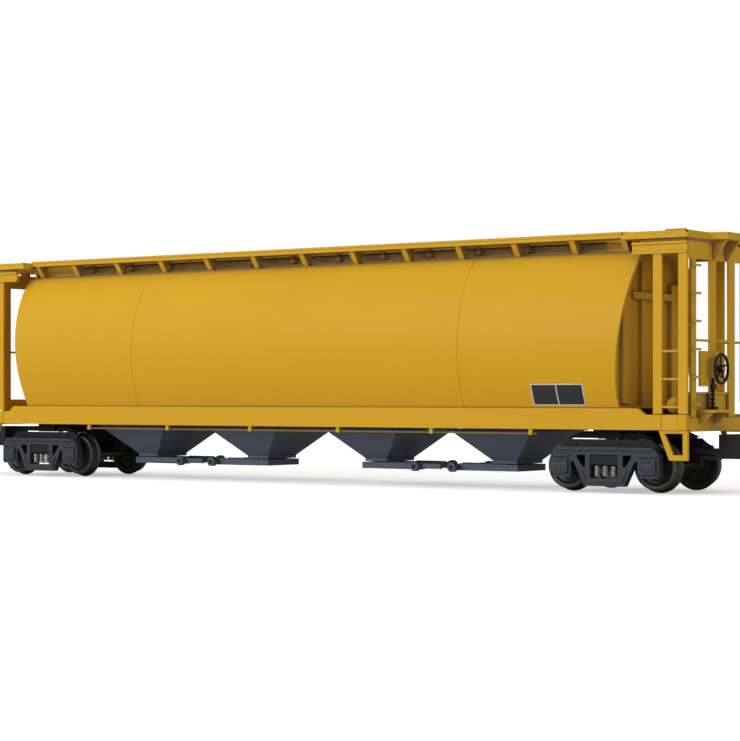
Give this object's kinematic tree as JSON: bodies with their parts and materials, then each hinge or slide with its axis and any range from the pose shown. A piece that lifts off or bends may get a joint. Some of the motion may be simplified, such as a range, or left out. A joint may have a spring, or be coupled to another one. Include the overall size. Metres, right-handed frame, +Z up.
{
  "type": "model hopper car",
  "caption": "Yellow model covered hopper car with bulging sides, caged ends, roof walkways, hopper bays and sprung trucks.",
  "frame": {"origin": "middle of the car, at the level of the wheel flanges' lowest facets", "axes": "+X along the car to its brake end, +Y across it, +Z up"},
  "size_m": [0.3964, 0.0616, 0.0976],
  "materials": {
    "yellow_paint": "satin yellow paint on moulded plastic",
    "grey_plastic": "satin dark grey",
    "black_plastic": "matte black",
    "black_diecast": "blackened diecast",
    "grey_diecast": "dark grey painted diecast",
    "bright_steel": "bare drawn wire and screw steel",
    "blackened_metal": "chemically blackened turned metal"
  },
  "bodies": {
    "car_body": {"body_shell": "yellow_paint", "side_sill_left": "yellow_paint", "side_sill_right": "yellow_paint", "underframe": "black_plastic", "hopper_bay_1": "grey_plastic", "hopper_bay_2": "grey_plastic", "hopper_bay_3": "grey_plastic", "hopper_bay_4": "grey_plastic", "outlet_gate_1": "grey_plastic", "outlet_gate_2": "grey_plastic", "outlet_gate_3": "grey_plastic", "outlet_gate_4": "grey_plastic", "hatch_cover_1": "yellow_paint", "hatch_cover_2": "yellow_paint", "hatch_cover_3": "yellow_paint", "hatch_cover_4": "yellow_paint", "roof_walkway_left": "yellow_paint", "roof_walkway_right": "yellow_paint", "cage_ladder_side_b": "yellow_paint", "cage_grab_side_b": "yellow_paint", "cage_end_b": "yellow_paint", "end_deck_b": "yellow_paint", "end_platform_b": "yellow_paint", "kingpin_b": "bright_steel", "cage_ladder_side_a": "yellow_paint", "cage_grab_side_a": "yellow_paint", "cage_end_a": "yellow_paint", "end_deck_a": "yellow_paint", "end_platform_a": "yellow_paint", "kingpin_a": "bright_steel", "brake_stand": "yellow_paint", "brake_step": "yellow_paint", "air_reservoir": "yellow_paint"},
    "brake_wheel": {"brake_wheel": "black_diecast"},
    "truck_b": {"truck_bolster_b": "black_diecast", "truck_frame_b_left": "grey_diecast", "truck_frame_b_right": "grey_diecast", "spring_b_left_1": "bright_steel", "spring_b_left_2": "bright_steel", "spring_b_left_3": "bright_steel", "spring_b_right_1": "bright_steel", "spring_b_right_2": "bright_steel", "spring_b_right_3": "bright_steel"},
    "wheelset_b_outer": {"wheelset_b_outer": "blackened_metal"},
    "wheelset_b_inner": {"wheelset_b_inner": "blackened_metal"},
    "coupler_b": {"coupler_b": "black_diecast"},
    "knuckle_b": {"knuckle_b": "black_diecast"},
    "truck_a": {"truck_bolster_a": "black_diecast", "truck_frame_a_left": "grey_diecast", "truck_frame_a_right": "grey_diecast", "spring_a_left_1": "bright_steel", "spring_a_left_2": "bright_steel", "spring_a_left_3": "bright_steel", "spring_a_right_1": "bright_steel", "spring_a_right_2": "bright_steel", "spring_a_right_3": "bright_steel"},
    "wheelset_a_outer": {"wheelset_a_outer": "blackened_metal"},
    "wheelset_a_inner": {"wheelset_a_inner": "blackened_metal"},
    "coupler_a": {"coupler_a": "black_diecast"},
    "knuckle_a": {"knuckle_a": "black_diecast"}
  },
  "joints": [
    {"name": "brake_wheel_turn", "type": "hinge", "parent": "car_body", "child": "brake_wheel", "pos_m": [0.1852, -0.0076, 0.0461], "axis": [1, 0, 0], "continuous": true},
    {"name": "truck_b_swivel", "type": "hinge", "parent": "car_body", "child": "truck_b", "pos_m": [0.14525, 0, 0.0155], "axis": [0, 0, 1], "range_deg": [-16, 16]},
    {"name": "wheelset_b_outer_spin", "type": "hinge", "parent": "truck_b", "child": "wheelset_b_outer", "pos_m": [0.16377, 0, 0.00973], "axis": [0, 1, 0], "continuous": true},
    {"name": "wheelset_b_inner_spin", "type": "hinge", "parent": "truck_b", "child": "wheelset_b_inner", "pos_m": [0.12673, 0, 0.00973], "axis": [0, 1, 0], "continuous": true},
    {"name": "coupler_b_swing", "type": "hinge", "parent": "truck_b", "child": "coupler_b", "pos_m": [0.17525, 0, 0.0153], "axis": [0, 0, 1], "range_deg": [-14, 14]},
    {"name": "knuckle_b_open", "type": "hinge", "parent": "coupler_b", "child": "knuckle_b", "pos_m": [0.19325, 0.0049, 0.0172], "axis": [0, 0, 1], "range_deg": [0, 40]},
    {"name": "truck_a_swivel", "type": "hinge", "parent": "car_body", "child": "truck_a", "pos_m": [-0.14525, 0, 0.0155], "axis": [0, 0, 1], "range_deg": [-16, 16]},
    {"name": "wheelset_a_outer_spin", "type": "hinge", "parent": "truck_a", "child": "wheelset_a_outer", "pos_m": [-0.16377, 0, 0.00973], "axis": [0, 1, 0], "continuous": true},
    {"name": "wheelset_a_inner_spin", "type": "hinge", "parent": "truck_a", "child": "wheelset_a_inner", "pos_m": [-0.12673, 0, 0.00973], "axis": [0, 1, 0], "continuous": true},
    {"name": "coupler_a_swing", "type": "hinge", "parent": "truck_a", "child": "coupler_a", "pos_m": [-0.17525, 0, 0.0153], "axis": [0, 0, 1], "range_deg": [-14, 14]},
    {"name": "knuckle_a_open", "type": "hinge", "parent": "coupler_a", "child": "knuckle_a", "pos_m": [-0.19325, -0.0049, 0.0172], "axis": [0, 0, 1], "range_deg": [0, 40]}
  ]
}
